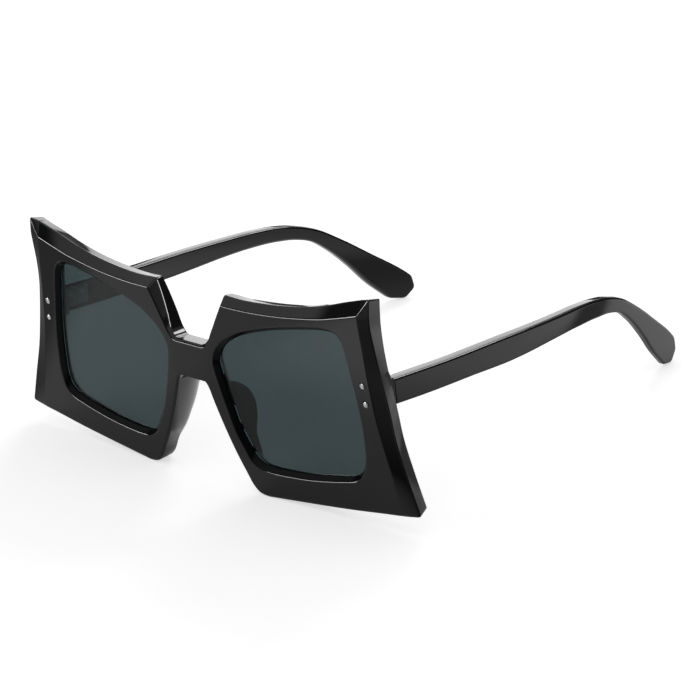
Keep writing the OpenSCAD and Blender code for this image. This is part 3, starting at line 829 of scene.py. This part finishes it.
def pocket(put, overrun=3.0):
    floor_y = -JOINT_D + RIM_T - LEAF_T - LEAF_SINK
    left = LEAF_X - PLAY
    c, s = math.cos(WRAP), math.sin(WRAP)
    x, y = left * c - floor_y * s, left * s + floor_y * c
    plan = [(x, y), (TEMPLE_IN, y + (TEMPLE_IN - x) * s / c), (TEMPLE_IN, overrun), (x, overrun)]
    return loft("pocket", [[put(u, v, z) for u, v in plan] for z in (-LUG_TOP, LUG_TOP)])


# Places of the two rivets beside the joint
rivet_places = [(-RIVET_LEAN / 2, RIVET_PITCH / 2), (RIVET_LEAN / 2, -RIVET_PITCH / 2)]


def rivet_hole(put, x, z):
    """A bore for the shank, with a shallow ring round the head that opens a little at the face."""
    face, ring, bore = -JOINT_D, RIVET_R + RIVET_RING, RIVET_R + 0.02
    mouth = ring + 0.06
    profile = [(mouth, face - 2.0), (mouth, face - 0.001), (ring, face + 0.08), (ring, face + RIVET_RING),
               (bore, face + RIVET_RING), (bore, -0.5)]
    return turned(profile, lambda a, h, b: put(x + a, h, z + b))


hinges = [hinge_point, flipped(hinge_point)]
combine(front, [lug(put) for put in hinges], "UNION")
cutters = [pocket(put) for put in hinges]
cutters += [rivet_hole(put, x, z) for put in hinges for x, z in rivet_places]
combine(front, cutters, "DIFFERENCE")
polish(front)
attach(front, "frame")
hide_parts("front_frame")
print("front finished:", len(front.data.polygons), "faces, cut with", len(cutters), "tools")

# %% [markdown]
# ## Lenses
#
# A lens is a flat plate whose edge sits in the groove. It is one outline, twice, with a wall
# between, and the two flat sides are filled from the outline.

# %% Lenses
LENS_OUT = GROOVE_D - PLAY - LIP_SLOPE


def lens(name, put):
    outline = [[p[0] + n[0] * LENS_OUT, p[1] + n[1] * LENS_OUT] for p, n in zip(opening, opening_out)]
    count = len(outline)
    points = [put(u, base + wrap(u), z) for base in (LENS_FRONT, LENS_BACK) for u, z in outline]
    flat = tessellate_polygon([[Vector((u, z, 0.0)) for u, z in outline]])
    faces = [tuple(first + k for k in three) for first in (0, count) for three in flat] + wall(2, count)
    piece = to_mesh(name, points, faces, tint)
    polish(piece, 50)
    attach(piece, "frame")
    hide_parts(name.replace("_pane", ""))


lens("lens_left_pane", front_point)
lens("lens_right_pane", flipped(front_point))
print("two lenses")

# %% [markdown]
# ## Nose pads
#
# The pads are moulded with the rims: soft fins that swell out of the back of each rim and fade into
# it above and below. The drawing gives a few levels. A smooth surface through them, with its foot
# pressed a little into the rim, has no edge anywhere.

# %% Nose pads
# Shares of the rim: height, and across to the inner edge, the outer edge and the ridge. Last, how
# far the ridge stands out behind, as a share of the pad's depth
pad_rows = [
    (0.440, 0.024, 0.073, 0.054, 0.55), (0.400, 0.035, 0.084, 0.076, 0.95),
    (0.347, 0.053, 0.098, 0.099, 1.02), (0.287, 0.075, 0.117, 0.112, 0.88),
    (0.227, 0.099, 0.144, 0.120, 0.60), (0.166, 0.125, 0.174, 0.131, 0.32),
    (0.115, 0.151, 0.185, 0.158, 0.12),
]
# Steps round a pad, and how far it sinks into the rim's side and swells from it, in mm
PAD_AROUND, PAD_SINK, PAD_SWELL = 24, 0.06, 0.45
# The nose side of the rim, up to which the foot of a pad has to reach
nose_side = sorted((p[1], p[0]) for p in runs[-1] if p[0] < across(0.22) and p[1] > 0.02 * RIM_H)


def side_at(z):
    above = next((k for k, q in enumerate(nose_side) if q[0] >= z), len(nose_side) - 1)
    low, high = nose_side[max(above - 1, 0)], nose_side[above]
    share = (z - low[0]) / max(high[0] - low[0], 1e-6)
    return low[1] + (high[1] - low[1]) * min(max(share, 0.0), 1.0)


def pad_levels():
    """Smooth levels: height, inner edge, outer edge, ridge and depth, with a faded one at each end."""
    levels = [[RIM_H * r[0], across(r[1]), across(r[2]), across(r[3]), PAD_D * r[4]] for r in pad_rows]
    first, last = levels[0], levels[-1]
    crest = (first[1] + first[2]) / 2
    levels.insert(0, [first[0] + 1.4, crest - 0.9, crest + 0.9, first[3], 0.0])
    levels.append([last[0] - 2.4, last[1] + 1.4, last[2] + 0.4, last[3] + 0.6, 0.0])
    return [row[2:] for row in smooth_run([[v[4] * 0.5, v[0]] + v for v in levels], 0.5)]


def pad_ring(z, inner, outer, ridge, deep):
    """Points across and behind the rim's back: along its side, over the ridge and down to the back."""
    deep = max(deep, 0.0)
    foot = side_at(z) - PAD_SINK
    side = foot + (inner - foot) * (1.0 - min(deep / 2.0, 1.0))
    width = outer - side
    ridge = min(max(ridge, side + 0.25 * width), outer + 0.1 * width)
    swell = PAD_SWELL * min(deep / 3.0, 1.0)
    near, start, reach = side - swell, -1.4 * min(deep / PAD_D, 1.0) - 0.3, min(deep / 2.2, 1.0)
    ring = [(side + 0.12, -4.95 * reach - 0.35), (side - 0.4 * swell, -3.7 * reach - 0.33)]
    ring += [(ridge - (ridge - near) * math.cos(t), start + (deep - start) * math.sin(t))
             for t in [math.pi / 2 * k / 5 for k in range(6)]]
    ring += [(ridge + 0.16 * width, 0.88 * deep), (max(outer, ridge) - 0.02 * width, 0.5 * deep),
             (outer, 0.12 * deep), (outer, -0.25)]
    return even_run(ring, PAD_AROUND, 0.45)


def pad(name, put):
    """A fin whose foot fades into the side of the rim."""
    piece = loft(name, [[put(u, RIM_T + y + wrap(u), row[0]) for u, y in pad_ring(*row)]
                        for row in pad_levels()])
    polish(piece, 60)
    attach(piece, "frame")
    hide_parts(name.replace("_moulded", ""))


pad("nose_pad_left_moulded", front_point)
pad("nose_pad_right_moulded", flipped(front_point))
print("two nose pads")

# %% [markdown]
# ## Temples
#
# A temple is a flat bar, sawn to its side view and bent inwards behind the ear. Its two long edges
# and its cut tip are softened all round. So it is one outline with rings that step in towards each
# flat side, and the bend only moves each point sideways.

# %% Temple outline
# Shares of the temple's length and drop
temple_top = [
    (-0.010, 0.098), (0.153, 0.081), (0.331, 0.083), (0.500, 0.078), (0.565, 0.075), (0.628, 0.058),
    (0.687, 0.016), (0.741, -0.057), (0.799, -0.183), (0.884, -0.397), (0.981, -0.658), (0.992, -0.695),
]
temple_tip = [(1.000, -0.813), (0.974, -0.900)]
temple_bottom = [
    (0.932, -0.869), (0.877, -0.686), (0.827, -0.481), (0.770, -0.279), (0.722, -0.155),
    (0.678, -0.102), (0.627, -0.074), (0.557, -0.065), (0.471, -0.077), (0.392, -0.096),
    (0.306, -0.110), (0.210, -0.116), (0.095, -0.119), (-0.010, -0.110),
]
STATIONS = 150
# Radii at the end of the top, at the two corners of the tip and at the start of the bottom, in mm
TIP_RADII = (0.9, 1.3, 1.3, 1.2)


def side_view(rows):
    return [[TEMPLE_LEN * a, TEMPLE_DROP * b] for a, b in rows]


top_run = even_run(side_view(temple_top), STATIONS, 0.25)
bottom_run = even_run(side_view(temple_bottom), STATIONS, 0.25)
tip_run = side_view(temple_top[-1:] + temple_tip + temple_bottom[:1])
print("temple outline:", len(top_run), "stations, tip at", [round(v, 1) for v in tip_run[1]])

# %% Temples
def inset(outline, by):
    """The closed outline stepped in by a distance, with mitred corners."""
    made = []
    for i, p in enumerate(outline):
        a, b = outline[i - 1], outline[(i + 1) % len(outline)]
        d1 = Vector((p[0] - a[0], p[1] - a[1])).normalized()
        d2 = Vector((b[0] - p[0], b[1] - p[1])).normalized()
        n = Vector((d1[1] + d2[1], -d1[0] - d2[0])).normalized()
        reach = by / max(n.dot(Vector((d1[1], -d1[0]))), 0.5)
        made.append([p[0] + n[0] * reach, p[1] + n[1] * reach])
    return made


def hook(y):
    t = max(y - TEMPLE_LEN * HOOK_START, 0.0) / (TEMPLE_LEN * (1 - HOOK_START))
    return -TEMPLE_HOOK * t * t


def between(rows, at):
    """A value read from rows of places and values, in straight lines."""
    for (a, p), (b, q) in zip(rows, rows[1:]):
        if at <= b:
            return p + (q - p) * min(max((at - a) / (b - a), 0.0), 1.0)
    return rows[-1][1]


# How far the outer bottom edge hangs below the inner one, and how much the bar thins, in mm at
# shares of its length
HANG = [(0.0, 0.3), (0.1, 0.45), (0.23, 0.7), (0.33, 1.2), (0.57, 1.25), (0.64, 1.0), (0.68, 0.5),
        (0.73, 0.1), (0.8, 0.0)]
THIN = [(0.55, 0.0), (0.75, 0.6), (0.9, 1.2), (1.0, 1.3)]


def temple_shell(name, put, soft=0.9):
    corners = [[tip_run[i], tip_run[i + 1]] for i in range(3)]
    outline = round_corners([top_run] + corners + [bottom_run], TIP_RADII, 5)
    n = len(outline)
    # Layers from the outer face to the inner one, and how far each steps in
    turns = [math.pi / 2 * k / 4 for k in range(5)]
    layers = [(TEMPLE_OUT - soft * (1 - math.cos(t)), soft * (1 - math.sin(t))) for t in turns]
    layers += [(TEMPLE_IN + TEMPLE_OUT - x, by) for x, by in reversed(layers)]
    points = []
    for x, by in layers:
        outward = (x - TEMPLE_IN) / TEMPLE_T
        for k, (y, z) in enumerate(inset(outline, by)):
            low = outward * between(HANG, y / TEMPLE_LEN) if k > n / 2 else 0.0
            thinner = (1 - outward) * between(THIN, y / TEMPLE_LEN)
            points.append(put(x + hook(y) + thinner, y, z - low))
    faces = wall(len(layers), n)
    # Each flat side is ladders of faces from top to bottom, and one face at the tip
    sides_kept = shorten(top_run, TIP_RADII[0], True), shorten(bottom_run, TIP_RADII[-1], False)
    pairs = min(len(run) for run in sides_kept) - 1
    for first in (0, (len(layers) - 1) * n):
        faces += [(first + k, first + k + 1, first + n - 2 - k, first + n - 1 - k) for k in range(pairs)]
        faces.append(tuple(first + k for k in range(pairs, n - pairs)))
    return to_mesh(name, points, faces, acetate)


def temple_cutters(put):
    """Cutters for a temple: its leaning butt, the bed of the leaf, its webs, and the wire's bore."""
    back_turn = Matrix.Rotation(LEAN + TEMPLE_TILT, 3, "X")

    def hinge_put(x, y, z):
        return put(*(back_turn @ Vector((x, y, z))))
    inner, bed = TEMPLE_IN - 2, TEMPLE_IN + TEMPLE_LEAF_T + PLAY
    leaf_half, hinge_half = TEMPLE_LEAF_H / 2 + PLAY, HINGE_H / 2 + PLAY
    middle, bore, far = (TEMPLE_IN + TEMPLE_OUT) / 2, CORE_R + 0.03, 30
    return [
        block((-far, -far, -far), (far, SWING, far), hinge_put),
        block((inner, 0.6 - PLAY, -leaf_half), (bed, TEMPLE_LEAF_LEN + PLAY, leaf_half), put),
        block((inner, -0.6, -hinge_half), (bed, KNUCKLE_R + 1.2, hinge_half), hinge_put),
        turned([(bore, -4.0), (bore, CORE_LEN + 0.6)], lambda a, h, b: put(middle + a, h, -CORE_FALL + b)),
    ]


for side, put in (("left", temple_point), ("right", flipped(temple_point))):
    piece = temple_shell("temple_" + side + "_bent", put)
    combine(piece, temple_cutters(put), "DIFFERENCE")
    polish(piece)
    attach(piece, side + "_temple")
    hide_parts("temple_" + side)
    print(piece.name, len(piece.data.polygons), "faces")

# %% [markdown]
# ## Rivets
#
# Two rivets hold each hinge. Four pieces of one pattern are a case for Geometry Nodes: points mark
# their places, and one small tree draws a shank with a slightly domed head on each. Named inputs
# hold its sizes.

# %% Rivet tree
RIVET_INPUTS = {"Places": "Geometry", "Radius": "Float", "Length": "Float", "Dome": "Float",
                "Turn": "Vector", "Metal": "Material"}


def rivet_tree():
    tree = bpy.data.node_groups.new("rivets", "GeometryNodeTree")
    tree.interface.new_socket(name="Geometry", in_out="OUTPUT", socket_type="NodeSocketGeometry")
    for name, kind in RIVET_INPUTS.items():
        tree.interface.new_socket(name=name, in_out="INPUT", socket_type="NodeSocket" + kind)
    given = add(tree, "NodeGroupInput").outputs
    shank = add(tree, "GeometryNodeMeshCylinder", {
        "Vertices": 40, "Side Segments": 12, "Fill Segments": 6,
        "Radius": given["Radius"], "Depth": given["Length"]}, fill_type="TRIANGLE_FAN")
    spot = add(tree, "GeometryNodeInputPosition")
    parts = add(tree, "ShaderNodeSeparateXYZ", {0: spot.outputs[0]}).outputs
    # Height above the middle, from 0 to 1 at the head
    level = calc(tree, "DIVIDE", parts["Z"], calc(tree, "MULTIPLY", given["Length"], 0.5))
    on_head = calc(tree, "GREATER_THAN", level, 0.999)
    flat = add(tree, "ShaderNodeCombineXYZ", {0: parts["X"], 1: parts["Y"]})
    reach = add(tree, "ShaderNodeVectorMath", {0: flat.outputs[0]}, operation="LENGTH")
    share = calc(tree, "DIVIDE", reach.outputs["Value"], given["Radius"])
    crown = calc(tree, "SUBTRACT", 1.0, calc(tree, "POWER", share, 2.5))
    lift = calc(tree, "MULTIPLY", calc(tree, "MULTIPLY", crown, given["Dome"]), on_head)
    rise = add(tree, "ShaderNodeCombineXYZ", {2: lift})
    domed = add(tree, "GeometryNodeSetPosition", {
        "Geometry": shank.outputs["Mesh"], "Offset": rise.outputs[0]})
    spin = add(tree, "FunctionNodeEulerToRotation", {0: given["Turn"]})
    placed = add(tree, "GeometryNodeInstanceOnPoints", {
        "Points": given["Places"], "Instance": domed.outputs[0], "Rotation": spin.outputs[0]})
    real = add(tree, "GeometryNodeRealizeInstances", {"Geometry": placed.outputs[0]})
    smooth = add(tree, "GeometryNodeSetShadeSmooth", {"Geometry": real.outputs[0]})
    done = add(tree, "GeometryNodeSetMaterial", {"Geometry": smooth.outputs[0], "Material": given["Metal"]})
    add(tree, "NodeGroupOutput", {"Geometry": done.outputs[0]})
    return tree


def grow(name, points, tree, values):
    """Runs a tree on a few points and keeps the result as a plain mesh."""
    piece = new_object(name, new_mesh(name, points))
    modifier = piece.modifiers.new(name, "NODES")
    modifier.node_group = tree
    for item in tree.interface.items_tree:
        if item.item_type == "SOCKET" and item.in_out == "INPUT" and item.name in values:
            modifier[item.identifier] = values[item.name]
    return settle(piece)


# %% Rivets
rivet_top = -JOINT_D - RIVET_PROUD
rivet_end = -KNUCKLE_R - SWING
rivet_mid = (rivet_top + rivet_end) / 2
places = [put(x, rivet_mid, z) for put in hinges for x, z in rivet_places]
rivets = grow("rivets", places, rivet_tree(), {
    "Radius": RIVET_R / 1000, "Length": (rivet_end - rivet_top) / 1000, "Dome": RIVET_DOME / 1000,
    "Turn": (math.pi / 2 + LEAN, 0.0, 0.0), "Metal": tumbled_steel})
rivets.data.set_sharp_from_angle(angle=math.radians(50))
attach(rivets, "frame")
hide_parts("rivet_upper_left", "rivet_upper_right", "rivet_lower_left", "rivet_lower_right")
print("rivets:", len(rivets.data.polygons), "faces on", len(places), "places")

# %% [markdown]
# ## Hinges and wires
#
# The hinge leaves, their screws and the wires in the temples are small plain turned and stamped
# parts, and the CAD solids already have their shape. They only need their metal.

# %% Metal on the CAD pieces
finishes = {"front_hinge": nickel_silver, "temple_hinge": nickel_silver, "hinge_screw": polished_steel,
            "leaf_screw": polished_steel, "temple_core": drawn_wire}
dressed = 0
for name, node in nodes.items():
    for start, finish in finishes.items():
        if name.startswith(start):
            node.data.materials.clear()
            node.data.materials.append(finish)
            dressed += 1
print("dressed", dressed, "CAD pieces")
